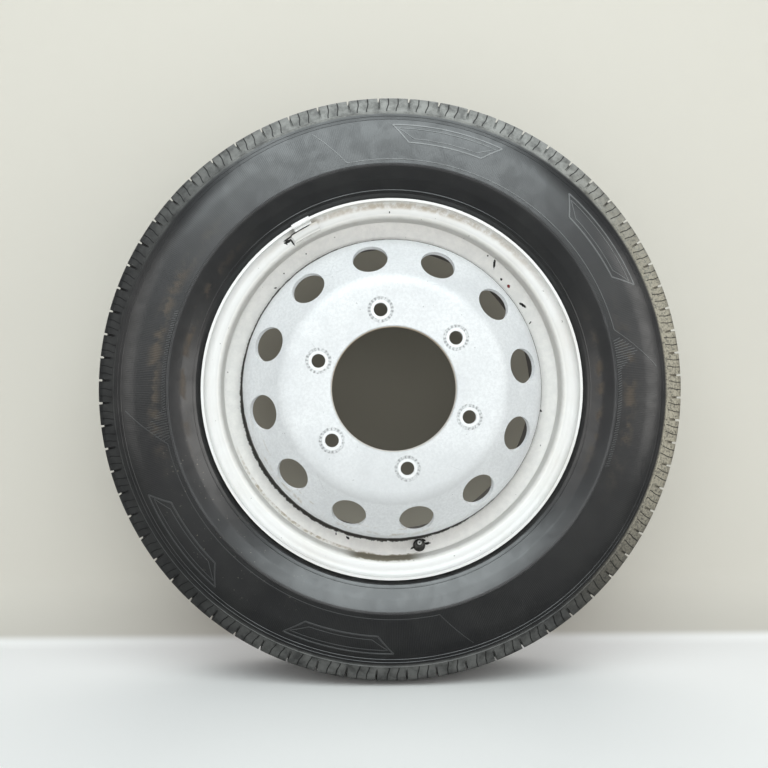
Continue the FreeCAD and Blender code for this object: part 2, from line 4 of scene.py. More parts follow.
import bpy
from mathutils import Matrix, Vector


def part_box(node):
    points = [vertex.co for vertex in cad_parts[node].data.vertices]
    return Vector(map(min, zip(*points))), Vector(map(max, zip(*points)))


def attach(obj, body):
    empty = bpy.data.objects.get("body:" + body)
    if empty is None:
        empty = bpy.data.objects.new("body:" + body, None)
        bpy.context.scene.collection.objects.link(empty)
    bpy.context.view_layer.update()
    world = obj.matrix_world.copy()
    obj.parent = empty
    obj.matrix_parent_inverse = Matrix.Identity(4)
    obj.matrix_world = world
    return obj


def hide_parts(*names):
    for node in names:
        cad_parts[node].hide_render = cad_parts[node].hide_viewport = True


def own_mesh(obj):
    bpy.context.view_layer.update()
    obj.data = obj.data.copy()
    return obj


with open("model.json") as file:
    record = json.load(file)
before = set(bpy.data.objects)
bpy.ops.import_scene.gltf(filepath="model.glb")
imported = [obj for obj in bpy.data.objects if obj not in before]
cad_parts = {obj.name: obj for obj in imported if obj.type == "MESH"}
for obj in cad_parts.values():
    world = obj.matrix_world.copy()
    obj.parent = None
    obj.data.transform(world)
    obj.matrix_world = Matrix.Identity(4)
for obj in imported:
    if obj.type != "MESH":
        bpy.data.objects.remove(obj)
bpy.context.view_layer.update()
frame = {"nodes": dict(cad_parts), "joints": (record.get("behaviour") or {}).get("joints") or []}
nodes = frame["nodes"]
print("frame loaded:", len(nodes), "nodes")

# lengths in the dictionaries are millimetres, angles are degrees anticlockwise from +X seen from outside
mm = 0.001
halfTurn = 180.0
wheel = dict(
    outset=109.5,  # hub seat to the rim's middle plane
    body="wheel",
    sharp=28.0,  # angle from which an edge of a solid is shaded as an edge
)


def onWheel(radius, outboard, angle):
    return (
        radius * math.cos(angle) * mm,
        (wheel["outset"] - outboard) * mm,
        radius * math.sin(angle) * mm,
    )


# shader helpers

class Graph:
    def __init__(self, tree, look=None):
        self.tree = tree
        self.look = look

    def add(self, kind, **settings):
        node = self.tree.nodes.new(kind)
        for name, value in settings.items():
            setattr(node, name, value)
        return node

    def feed(self, socket, value):
        if isinstance(value, bpy.types.NodeSocket):
            self.tree.links.new(value, socket)
        else:
            socket.default_value = value

    def feedAll(self, node, terms):
        for socket, term in zip(node.inputs, terms):
            self.feed(socket, term)
        return node.outputs

    def math(self, operation, *terms):
        return self.feedAll(self.add("ShaderNodeMath", operation=operation), terms)[0]

    def times(self, first, *others):
        for other in others:
            first = self.math("MULTIPLY", first, other)
        return first

    def plus(self, first, second):
        return self.math("ADD", first, second)

    def minus(self, first, second):
        return self.math("SUBTRACT", first, second)

    def most(self, first, *others):
        for other in others:
            first = self.math("MAXIMUM", first, other)
        return first

    def length(self, first, second):
        return self.math("SQRT", self.plus(self.times(first, first), self.times(second, second)))

    def vector(self, operation, *terms):
        return self.feedAll(self.add("ShaderNodeVectorMath", operation=operation), terms)

    def parts(self, vector):
        return self.feedAll(self.add("ShaderNodeSeparateXYZ"), [vector])

    def remap(self, value, low, high, toLow=0.0, toHigh=1.0):
        node = self.add("ShaderNodeMapRange", interpolation_type="SMOOTHSTEP")
        return self.feedAll(node, (value, low, high, toLow, toHigh))[0]

    def blend(self, mask, under, over):
        node = self.add("ShaderNodeMix", data_type="RGBA")
        self.feed(node.inputs["Factor"], mask)
        # the sockets of the colour kind
        self.feed(node.inputs[6], under)
        self.feed(node.inputs[7], over)
        return node.outputs[2]

    def noise(self, vector, scale, detail=4.0, rough=0.55, distortion=0.0):
        node = self.add("ShaderNodeTexNoise")
        self.feed(node.inputs["Vector"], vector)
        node.inputs["Scale"].default_value = scale
        node.inputs["Detail"].default_value = detail
        node.inputs["Roughness"].default_value = rough
        node.inputs["Distortion"].default_value = distortion
        return node.outputs["Fac"]

    def sway(self, noise, amount):
        return self.times(self.minus(noise, 0.5), amount)

    def place(self):
        return self.add("ShaderNodeTexCoord").outputs["Object"]

    def group(self, tree, **values):
        node = self.add("ShaderNodeGroup", node_tree=tree)
        for name, value in values.items():
            self.feed(node.inputs[name], value)
        return node.outputs

    # these take their values from the finish by name
    def fit(self, value, label):
        return self.remap(value, *self.look[label])

    def grain(self, vector, label):
        return self.noise(vector, *self.look[label])

    def patches(self, vector, label):
        return self.fit(self.grain(vector, label + "Noise"), label + "Span")

    def band(self, value, label):
        return bandMask(self, value, *self.look[label])

    def span(self, clock, label):
        return clockMask(self, clock, *self.look[label])

    def lay(self, colour, mask, label, share=None):
        if share:
            mask = self.times(mask, self.look[share])
        return self.blend(mask, colour, self.look[label])


def newGroup(name, inputs, outputs):
    tree = bpy.data.node_groups.new(name, "ShaderNodeTree")
    for label, start in inputs.items():
        kind = "NodeSocketVector" if start is None else "NodeSocketFloat"
        socket = tree.interface.new_socket(label, in_out="INPUT", socket_type=kind)
        if start is not None:
            socket.default_value = start
    for label in outputs:
        tree.interface.new_socket(label, in_out="OUTPUT", socket_type="NodeSocketFloat")
    graph = Graph(tree)
    return graph, graph.add("NodeGroupInput").outputs, graph.add("NodeGroupOutput").inputs


def polarGroup():
    graph, given, out = newGroup("wheelPolar", {"Position": None}, ["Radius", "Clock", "Outboard"])
    x, y, z = graph.parts(given["Position"])
    graph.feed(out["Radius"], graph.math("DIVIDE", graph.length(x, z), mm))
    graph.feed(out["Clock"], graph.math("DEGREES", graph.math("ARCTAN2", z, x)))
    graph.feed(out["Outboard"], graph.minus(wheel["outset"], graph.math("DIVIDE", y, mm)))
    return graph.tree


def bandGroup():
    inputs = {"Value": 0.0, "From": 0.0, "To": 1.0, "Soft": 0.5}
    graph, given, out = newGroup("softBand", inputs, ["Mask"])
    value, soft = given["Value"], given["Soft"]
    start = graph.remap(value, graph.minus(given["From"], soft), graph.plus(given["From"], soft))
    end = graph.remap(value, graph.minus(given["To"], soft), graph.plus(given["To"], soft), 1.0, 0.0)
    graph.feed(out["Mask"], graph.times(start, end))
    return graph.tree


def clockGroup():
    inputs = {"Clock": 0.0, "Middle": 0.0, "Half": 10.0, "Soft": 5.0}
    graph, given, out = newGroup("clockSpan", inputs, ["Mask"])
    turn = graph.math("WRAP", graph.minus(given["Clock"], given["Middle"]), halfTurn, -halfTurn)
    inner = graph.minus(given["Half"], given["Soft"])
    outer = graph.plus(given["Half"], given["Soft"])
    graph.feed(out["Mask"], graph.remap(graph.math("ABSOLUTE", turn), inner, outer, 1.0, 0.0))
    return graph.tree


def markGroup():
    inputs = {"Radius": 0.0, "Clock": 0.0, "Ragged": 0.5, "At Radius": 0.0, "At Clock": 0.0,
              "Tilt": 0.0, "Long": 3.0, "Wide": 1.0}
    graph, given, out = newGroup("dirtMark", inputs, ["Mask"])
    turn = graph.math("WRAP", graph.minus(given["Clock"], given["At Clock"]), halfTurn, -halfTurn)
    along = graph.times(graph.math("RADIANS", turn), given["At Radius"])
    up = graph.minus(given["Radius"], given["At Radius"])
    tilt = graph.math("RADIANS", given["Tilt"])
    cosine, sine = graph.math("COSINE", tilt), graph.math("SINE", tilt)
    first = graph.plus(graph.times(along, cosine), graph.times(up, sine))
    second = graph.minus(graph.times(up, cosine), graph.times(along, sine))
    first = graph.math("DIVIDE", first, given["Long"])
    second = graph.math("DIVIDE", second, given["Wide"])
    reach = graph.plus(graph.length(first, second), graph.minus(given["Ragged"], 0.5))
    inside, outside = 0.75, 1.1
    graph.feed(out["Mask"], graph.remap(reach, inside, outside, 1.0, 0.0))
    return graph.tree


effects = dict(polar=polarGroup(), band=bandGroup(), clock=clockGroup(), mark=markGroup())
print("shader groups:", ", ".join(effects))


def bandMask(graph, value, start, end, soft):
    return graph.group(effects["band"], Value=value, From=start, To=end, Soft=soft)["Mask"]


def clockMask(graph, clock, middle, half, soft):
    return graph.group(effects["clock"], Clock=clock, Middle=middle, Half=half, Soft=soft)["Mask"]


def markMask(graph, radius, clock, ragged, marks):
    masks = []
    for atRadius, atClock, tilt, long, wide in marks:
        values = {"Radius": radius, "Clock": clock, "Ragged": ragged, "At Radius": atRadius,
                  "At Clock": atClock, "Tilt": tilt, "Long": long, "Wide": wide}
        masks.append(graph.group(effects["mark"], **values)["Mask"])
    return graph.most(*masks)


def wheelPlace(graph):
    place = graph.place()
    polar = graph.group(effects["polar"], Position=place)
    return place, polar["Radius"], polar["Clock"], polar["Outboard"]


def newMaterial(name, look, **constants):
    material = bpy.data.materials.new(name)
    material.use_nodes = True
    graph = Graph(material.node_tree, look)
    shader = material.node_tree.nodes["Principled BSDF"]
    for label, value in constants.items():
        shader.inputs[label.replace("_", " ")].default_value = value
    return material, graph, shader


def bumpInto(graph, shader, height, strength, distance):
    bump = graph.add("ShaderNodeBump")
    bump.inputs["Strength"].default_value = strength
    bump.inputs["Distance"].default_value = distance
    graph.feed(bump.inputs["Height"], height)
    graph.feed(shader.inputs["Normal"], bump.outputs[0])


# In the finishes below a noise is scale, detail, roughness and distortion, a span is where a mask
# starts and ends and then the values it gives there, a band is two radii and a softness, a clock is
# an angle, half its width and a softness, and a share is how strongly a colour is laid on.

# paint of the disc
discFinish = dict(
    paint=(0.735, 0.75, 0.757, 1.0),
    shade=(0.655, 0.67, 0.68, 1.0),
    clean=(0.77, 0.777, 0.777, 1.0),
    dull=(0.54, 0.55, 0.555, 1.0),
    stamp=(0.22, 0.225, 0.225, 1.0),
    edge=(0.40, 0.30, 0.19, 1.0),  # rusty chamfer of the bore
    stain=(0.42, 0.36, 0.27, 1.0),
    grimeAndShade=(0.035, 0.032, 0.028, 1.0),
    inside=(0.085, 0.077, 0.066, 1.0),
    metallic=0.12,
    roughSpan=(0.0, 1.0, 0.42, 0.8),
    peelNoise=(700.0, 2.0),
    bump=(0.12, 0.0003),
    cloudNoise=(22.0, 6.0),
    cloudSpan=(0.35, 0.75),
    grainNoise=(330.0, 3.0, 0.7),
    grainSpan=(0.34, 0.66, 0.0, 0.42),
    faceSpan=(112.0, 114.0),  # outboard places of the hub face
    lowSpan=(-40.0, -120.0),  # heights
    lowShare=0.6,
    studCircle=90.0,
    studClock=39.6,
    studStep=60.0,
    cleanBand=(7.0, 10.6, 0.7),
    stampBand=(11.3, 14.6, 0.5),
    stampDots=20.0,
    stampSpan=(-0.4, 0.3, 0.42, 1.0),
    stampShare=0.8,
    stampDepth=2.0,
    wornNoise=(420.0, 2.0),
    wornSpan=(0.3, 0.6),
    boreBand=(60.0, 70.2, 0.25),
    boreClock=(100.0, 80.0, 70.0),
    boreSpan=(0.0, 1.0, 0.4, 0.9),
    tideBands=((163.6, 164.6, 0.9), (170.0, 173.0, 1.6)),
    tideClock=(-118.0, 42.0, 18.0),
    tideWave=(16.0, 2.0),
    tideSwing=9.0,
    tideNoise=(55.0, 5.0, 0.6, 0.6),
    tideSpan=(0.46, 0.62),
    tideShare=0.55,
    creviceClock=(-115.0, 62.0, 30.0),
    creviceRise=0.8,
    creviceNoise=(90.0, 5.0, 0.7),
    creviceSwing=2.4,
    creviceSpan=(173.0, 174.2),
    skirtSwing=16.0,
    skirtSpan=(46.0, 62.0, 1.0, 0.0),
    skirtInner=(171.6, 172.4, 1.0, 0.0),
    speckNoise=(310.0, 2.0, 0.4),
    speckSpan=(0.765, 0.785),
    speckShare=0.4,
    raggedNoise=(240.0, 3.0),
    scratchShare=0.35,
    # each scratch: radius, clock, tilt, half length, half width
    scratches=(
        (150.0, 121.0, 25.0, 9.0, 0.22), (153.5, 117.0, -40.0, 6.0, 0.2), (147.0, 114.5, 10.0, 7.0, 0.18),
        (126.0, 68.0, -14.0, 8.0, 0.2), (133.0, -128.0, 30.0, 11.0, 0.2), (112.0, -52.0, 60.0, 7.0, 0.18),
        (101.0, 152.0, -65.0, 6.0, 0.18),
    ),
)


def studMasks(graph, radius, clock):
    look = discFinish
    half = look["studStep"] / 2
    turn = graph.math("RADIANS", graph.math("WRAP", graph.minus(clock, look["studClock"]), half, -half))
    across = graph.minus(graph.times(radius, graph.math("COSINE", turn)), look["studCircle"])
    along = graph.times(radius, graph.math("SINE", turn))
    away = graph.length(across, along)
    wave = graph.math("COSINE", graph.times(graph.math("ARCTAN2", along, across), look["stampDots"]))
    dots = graph.times(graph.band(away, "stampBand"), graph.fit(wave, "stampSpan"))
    return graph.band(away, "cleanBand"), dots


def discPaint():
    look = discFinish
    material, graph, shader = newMaterial("discPaint", look, Metallic=look["metallic"])
    place, radius, clock, outboard = wheelPlace(graph)
    cloud = graph.grain(place, "cloudNoise")
    colour = graph.blend(graph.fit(cloud, "cloudSpan"), look["paint"], look["shade"])
    # grain of the silver paint
    colour = graph.lay(colour, graph.patches(place, "grain"), "dull")
    face = graph.fit(outboard, "faceSpan")
    # the hub face turns darker towards the bottom
    heights = [height * mm for height in look["lowSpan"]]
    lowFace = graph.times(graph.remap(graph.parts(place)[2], *heights), face)
    colour = graph.lay(colour, lowFace, "dull", "lowShare")
    # seats and stamped rings round the stud holes
    seats, dots = studMasks(graph, radius, clock)
    colour = graph.lay(colour, graph.times(seats, face), "clean")
    stamp = graph.times(dots, face, graph.patches(place, "worn"))
    colour = graph.lay(colour, stamp, "stamp", "stampShare")
    upper = graph.fit(graph.span(clock, "boreClock"), "boreSpan")
    colour = graph.lay(colour, graph.times(graph.band(radius, "boreBand"), upper), "edge")
    # tide lines of dirty water low on the slope
    wavy = graph.plus(radius, graph.times(graph.grain(place, "tideWave"), look["tideSwing"]))
    tide = graph.most(*[bandMask(graph, wavy, *band) for band in look["tideBands"]])
    broken = graph.patches(place, "tide")
    stain = graph.times(tide, graph.span(clock, "tideClock"), broken)
    colour = graph.lay(colour, stain, "stain", "tideShare")
    ragged = graph.grain(place, "raggedNoise")
    scratch = markMask(graph, radius, clock, ragged, look["scratches"])
    colour = graph.lay(colour, scratch, "stamp", "scratchShare")
    # grime packed in the crevice against the rim, thick at the bottom and lower left, over a thin line of
    # painted shade all round the crevice
    under = graph.times(graph.span(clock, "creviceClock"), look["creviceRise"])
    creep = graph.sway(graph.grain(place, "creviceNoise"), look["creviceSwing"])
    creviceGrimeAndShade = graph.fit(graph.plus(graph.plus(radius, creep), under), "creviceSpan")
    colour = graph.lay(colour, creviceGrimeAndShade, "grimeAndShade")
    # painted shade with some brake dust inside the skirt, so that it shows dark through the vents
    drift = graph.plus(outboard, graph.sway(cloud, look["skirtSwing"]))
    skirtDustAndShade = graph.times(graph.fit(drift, "skirtSpan"), graph.fit(radius, "skirtInner"))
    colour = graph.lay(colour, skirtDustAndShade, "inside")
    colour = graph.lay(colour, graph.patches(place, "speck"), "grimeAndShade", "speckShare")
    graph.feed(shader.inputs["Base Color"], colour)
    roughened = graph.most(stain, creviceGrimeAndShade, skirtDustAndShade, stamp)
    graph.feed(shader.inputs["Roughness"], graph.fit(roughened, "roughSpan"))
    height = graph.minus(graph.grain(place, "peelNoise"), graph.times(stamp, look["stampDepth"]))
    bumpInto(graph, shader, height, *look["bump"])
    return material


# paint of the rim, with the road dirt that stays in its hollows, painted shade in the crevice against the
# disc and along the weight, and painted light on its inner walls
rimFinish = dict(
    paint=(0.74, 0.74, 0.728, 1.0),
    shade=(0.69, 0.678, 0.65, 1.0),
    weight=(0.56, 0.555, 0.54, 1.0),
    wall=(0.95, 0.94, 0.905, 1.0),
    tan=(0.40, 0.33, 0.24, 1.0),
    groove=(0.55, 0.53, 0.48, 1.0),
    olive=(0.14, 0.112, 0.052, 1.0),
    black=(0.012, 0.011, 0.010, 1.0),
    creviceGrimeAndShade=(0.035, 0.031, 0.025, 1.0),
    red=(0.20, 0.02, 0.02, 1.0),
    metallic=0.08,
    roughSpan=(0.0, 1.0, 0.4, 0.78),
    peelNoise=(700.0, 2.0),
    bump=(0.12, 0.0003),
    frontSpan=(10.0, 20.0),  # outboard places where the seen side begins
    cloudNoise=(16.0, 6.0),
    cloudSpan=(0.4, 0.8),
    fineNoise=(130.0, 5.0, 0.65),
    wallBand=(176.0, 203.5, 1.0),
    wallSpan=(0.3, 0.7, 0.62, 1.0),
    wallRoughShare=0.4,
    filmBand=(210.0, 216.4, 2.2),
    filmClock=(82.0, 38.0, 30.0),
    filmSpan=(0.3, 0.62),
    filmShare=0.72,
    grooveBand=(198.0, 203.0, 1.4),
    grooveSpan=(0.3, 0.7, 0.0, 0.36),
    streakBand=(194.6, 197.4, 0.8),
    streakClock=(-128.0, 26.0, 14.0),
    streakSpan=(0.4, 0.6, 0.1, 0.9),
    poolBand=(196.8, 200.6, 0.9),
    poolClock=(-93.0, 11.5, 3.5),
    poolSwing=5.0,
    poolShare=0.85,
    creviceClock=(-118.0, 60.0, 30.0),
    creviceRise=2.6,
    creviceNoise=(130.0, 6.0, 0.8),
    creviceSwing=9.0,
    creviceCalm=(0.0, 1.0, 0.3, 1.0),
    creviceSpan=(178.7, 179.5, 1.0, 0.0),
    creviceShare=0.95,
    # painted shadow line along the weight, under its clip
    weightBand=(211.2, 213.0, 0.35),
    weightClock=(121.7, 4.7, 0.5),
    speckNoise=(260.0, 2.0, 0.4),
    speckSpan=(0.755, 0.775),
    speckShare=0.6,
    raggedNoise=(520.0, 3.0),
    # each mark: radius, clock, tilt, half length, half width
    marks=(
        (193.3, 50.6, 55.0, 5.8, 1.5), (185.6, 45.0, 20.0, 1.7, 1.4), (186.4, 32.6, -20.7, 5.6, 1.6),
        (178.8, -8.2, 100.0, 4.4, 1.7), (209.5, 125.4, 10.0, 4.8, 2.0), (206.0, 124.3, 90.0, 5.0, 1.1),
        (209.0, 126.3, 65.0, 2.5, 0.9), (196.0, 54.2, 0.0, 1.0, 0.9), (184.0, 25.5, 60.0, 2.2, 0.8),
        (183.0, 139.0, 40.0, 2.0, 0.9), (190.0, 122.3, 0.0, 0.8, 0.8), (205.5, 91.0, 80.0, 1.2, 0.7),
        (187.5, 133.0, 80.0, 0.9, 0.9), (184.6, -106.4, 20.0, 2.4, 1.3), (184.4, -111.0, 70.0, 1.6, 0.8),
        (188.5, -77.2, 5.0, 5.0, 1.5), (184.0, -78.0, 40.0, 3.0, 1.2), (190.5, -82.4, -20.0, 3.5, 1.1),
    ),
    redMark=((186.4, 41.3, 0.0, 2.3, 1.8),),
)


def rimPaint(name, paint):
    look = rimFinish
    material, graph, shader = newMaterial(name, look, Metallic=look["metallic"])
    place, radius, clock, outboard = wheelPlace(graph)
    front = graph.fit(outboard, "frontSpan")
    fine = graph.grain(place, "fineNoise")
    colour = graph.blend(graph.patches(place, "cloud"), paint, look["shade"])
    # painted light: the inner walls and the hollow above them are laid on far lighter than the paint,
    # standing in for light that their deep shade keeps off
    wall = graph.times(graph.band(radius, "wallBand"), front)
    colour = graph.lay(colour, graph.times(wall, graph.fit(fine, "wallSpan")), "wall")
    # brown film on the flange above
    above = graph.times(graph.band(radius, "filmBand"), graph.span(clock, "filmClock"))
    film = graph.times(above, graph.fit(fine, "filmSpan"))
    colour = graph.lay(colour, film, "tan", "filmShare")
    # the groove laid on darker in patches, and a broken brown streak low on the left
    seam = graph.times(graph.band(radius, "grooveBand"), graph.fit(fine, "grooveSpan"), front)
    colour = graph.lay(colour, seam, "groove")
    broken = graph.fit(fine, "streakSpan")
    streak = graph.times(graph.band(radius, "streakBand"), front, graph.span(clock, "streakClock"), broken)
    colour = graph.lay(colour, streak, "tan")
    # wet dirt that dried beside the valve
    poolEdge = graph.plus(radius, graph.sway(fine, look["poolSwing"]))
    puddle = graph.times(graph.band(poolEdge, "poolBand"), graph.span(clock, "poolClock"), front)
    colour = graph.lay(colour, puddle, "olive", "poolShare")
    # grime and painted shade in the crevice against the disc, thick low on the left
    under = graph.span(clock, "creviceClock")
    creep = graph.sway(graph.grain(place, "creviceNoise"), look["creviceSwing"])
    creep = graph.times(creep, graph.fit(under, "creviceCalm"))
    depth = graph.minus(graph.plus(radius, creep), graph.times(under, look["creviceRise"]))
    grimeAndShade = graph.times(graph.fit(depth, "creviceSpan"), front)
    colour = graph.lay(colour, grimeAndShade, "creviceGrimeAndShade", "creviceShare")
    # black marks, a painted shadow line along the weight under its clip, and one red mark
    ragged = graph.grain(place, "raggedNoise")
    weightShadowLine = graph.times(graph.band(radius, "weightBand"), graph.span(clock, "weightClock"))
    marks = graph.times(graph.most(markMask(graph, radius, clock, ragged, look["marks"]), weightShadowLine), front)
    colour = graph.lay(colour, marks, "black")
    redMark = graph.times(markMask(graph, radius, clock, ragged, look["redMark"]), front)
    colour = graph.lay(colour, redMark, "red")
    colour = graph.lay(colour, graph.patches(place, "speck"), "black", "speckShare")
    graph.feed(shader.inputs["Base Color"], colour)
    roughened = graph.most(film, puddle, grimeAndShade, marks, graph.times(wall, look["wallRoughShare"]))
    graph.feed(shader.inputs["Roughness"], graph.fit(roughened, "roughSpan"))
    bumpInto(graph, shader, graph.plus(graph.grain(place, "peelNoise"), roughened), *look["bump"])
    return material


# small pieces
smallFinish = dict(
    valveRubber=dict(
        dark=(0.014, 0.014, 0.014, 1.0), pale=(0.06, 0.058, 0.052, 1.0), scale=260.0, rough=0.62, metal=0.0,
    ),
    sealRubber=dict(
        dark=(0.02, 0.02, 0.022, 1.0), pale=(0.05, 0.05, 0.05, 1.0), scale=900.0, rough=0.7, metal=0.0,
    ),
    valveBrass=dict(
        dark=(0.42, 0.28, 0.10, 1.0), pale=(0.66, 0.50, 0.24, 1.0), scale=500.0, rough=0.3, metal=1.0,
    ),
    springSteel=dict(
        dark=(0.40, 0.40, 0.40, 1.0), pale=(0.66, 0.66, 0.65, 1.0), scale=900.0, rough=0.3, metal=1.0,
    ),
    clipSteel=dict(
        dark=(0.70, 0.70, 0.68, 1.0), pale=(0.90, 0.90, 0.89, 1.0), scale=200.0, rough=0.35, metal=0.35,
    ),
)
smallGrain = dict(
    detail=5.0,
    span=(0.3, 0.7),
    dry=0.12,  # roughness added in the dark places
    finer=6.0,  # scale of the bump against that of the colour
    bumpDetail=2.0,
    bump=(0.15, 0.0001),
)


def smallMaterial(name):
    look, grain = smallFinish[name], smallGrain
    material, graph, shader = newMaterial(name, look, Metallic=look["metal"])
    place = graph.place()
    cloud = graph.remap(graph.noise(place, look["scale"], grain["detail"]), *grain["span"])
    graph.feed(shader.inputs["Base Color"], graph.blend(cloud, look["dark"], look["pale"]))
    rough = graph.remap(cloud, 0.0, 1.0, look["rough"] + grain["dry"], look["rough"])
    graph.feed(shader.inputs["Roughness"], rough)
    height = graph.noise(place, look["scale"] * grain["finer"], grain["bumpDetail"])
    bumpInto(graph, shader, height, *grain["bump"])
    return material


# dust cap: dark plastic, grey on the rim of its end, partly rubbed and partly a painted highlight
capFinish = dict(
    plastic=(0.012, 0.012, 0.012, 1.0),
    dust=(0.10, 0.096, 0.086, 1.0),
    rubbedAndHighlight=(0.42, 0.42, 0.40, 1.0),
    cloudNoise=(500.0, 4.0),
    dustSpan=(0.4, 0.8),
    rubbedAndHighlightBand=(1.0, 2.5, 0.3),
    rubbedAndHighlightSpan=(0.2, 0.5),
    roughSpan=(0.3, 0.8, 0.42, 0.7),
    bump=(0.1, 0.0002),
    joint="valve_cap_off",
)


def capPlastic():
    look = capFinish
    axis = Vector(jointNamed(look["joint"])["axis"])
    low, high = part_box("valve_cap")
    material, graph, shader = newMaterial("capPlastic", look)
    place = graph.place()
    off = graph.vector("SUBTRACT", place, (low + high) / 2)[0]
    side = graph.vector("CROSS_PRODUCT", off, axis)[0]
    distance = graph.math("DIVIDE", graph.vector("LENGTH", side)["Value"], mm)
    cloud = graph.grain(place, "cloudNoise")
    colour = graph.blend(graph.fit(cloud, "dustSpan"), look["plastic"], look["dust"])
    # painted highlight with some rubbing on the rim of the end
    ring = graph.times(graph.band(distance, "rubbedAndHighlightBand"), graph.fit(cloud, "rubbedAndHighlightSpan"))
    graph.feed(shader.inputs["Base Color"], graph.blend(ring, colour, look["rubbedAndHighlight"]))
    graph.feed(shader.inputs["Roughness"], graph.fit(cloud, "roughSpan"))
    bumpInto(graph, shader, cloud, *look["bump"])
    return material


# rubber of the tyre, by zones of radius
tyreFinish = dict(
    rubber=(0.007, 0.007, 0.008, 1.0),
    worn=(0.012, 0.012, 0.012, 1.0),
    brownReflection=(0.085, 0.066, 0.048, 1.0),
    dust=(0.29, 0.295, 0.28, 1.0),
    rubbedAndHighlight=(0.16, 0.165, 0.165, 1.0),
    clay=(0.42, 0.385, 0.30, 1.0),
    cut=(0.003, 0.003, 0.003, 1.0),
    cloudNoise=(28.0, 6.0, 0.6),
    cloudSpan=(0.35, 0.75),
    cloudRough=0.1,
    fineNoise=(420.0, 3.0, 0.6),
    fineHeight=0.25,
    bump=(0.35, 0.0004),
    brownReflectionClocks=((168.0, 24.0, 16.0), (-2.0, 16.0, 14.0)),
    brownReflectionBands=((236.0, 242.0, 3.5), (266.0, 278.0, 6.0)),
    brownReflectionNoise=(60.0, 4.0, 0.6),
    brownReflectionSpan=(0.42, 0.62),
    brownReflectionShare=0.75,
    treadSpan=(315.0, 319.0),
    dustNoise=(70.0, 6.0, 0.7),
    dustSpan=(0.25, 0.65, 0.25, 1.0),
    dustClock=(80.0, 50.0, 45.0),
    dustLight=(0.0, 1.0, 0.07, 1.0),
    dustRough=(0.0, 0.7, 0.3, 0.85),
    groundClock=(-88.0, 36.0, 26.0),
    groundShare=0.38,
    clayClock=(2.0, 34.0, 24.0),
    claySpan=(0.2, 0.6),
    clayShare=0.85,
    splashClock=(-142.0, 20.0, 18.0),
    splashBand=(226.0, 292.0, 14.0),
    splashNoise=(330.0, 3.0, 0.55),
    splashSpan=(0.67, 0.74),
    splashShare=0.45,
    rubbedAndHighlightClock=(82.0, 75.0, 65.0),
    rubbedAndHighlightSpan=(0.0, 1.0, 0.22, 0.75),
    hatchBand=(254.0, 305.0, 1.0),
    hatchLines=900.0,
    hatchHeight=0.9,
    sipes=(0.36, 0.68),  # places along a block, as shares of the pitch
    sipeSpan=(0.0105, 0.0273, 1.0, 0.0),
    sipeFrom=(319.5, 320.5),
    sipeShare=0.9,
    sipeDepth=3.0,
    hookSpan=(321.0, 331.0, 0.07, 0.0),
    crownSpan=(50.0, 52.0, 1.0, 0.0),
    leanRate=0.16,
    leanSwing=0.05,
    sideRough=(250.0, 256.0, 0.32, 0.42),
    coatRough=0.25,  # old tyre dressing
    coatIndex=1.73,
    coatNoise=(38.0, 5.0, 0.6, 0.9),
    coatSpan=(0.36, 0.62, 0.7, 1.0),
    dryFull=0.8,
    dryCoat=0.1,
)


def sipeMask(graph, radius, outboard):
    look = tyreFinish
    pitch = graph.add("ShaderNodeUVMap", uv_map="treadPitch").outputs[0]
    share = graph.math("FRACT", graph.parts(pitch)[0])
    lean = graph.times(graph.math("SINE", graph.times(outboard, look["leanRate"])), look["leanSwing"])
    crown = graph.fit(graph.math("ABSOLUTE", outboard), "crownSpan")
    drift = graph.plus(graph.fit(radius, "hookSpan"), graph.times(lean, crown))
    cuts = []
    for sipe in look["sipes"]:
        gap = graph.math("ABSOLUTE", graph.minus(share, graph.plus(drift, sipe)))
        cuts.append(graph.fit(gap, "sipeSpan"))
    return graph.times(graph.most(*cuts), graph.fit(radius, "sipeFrom"))


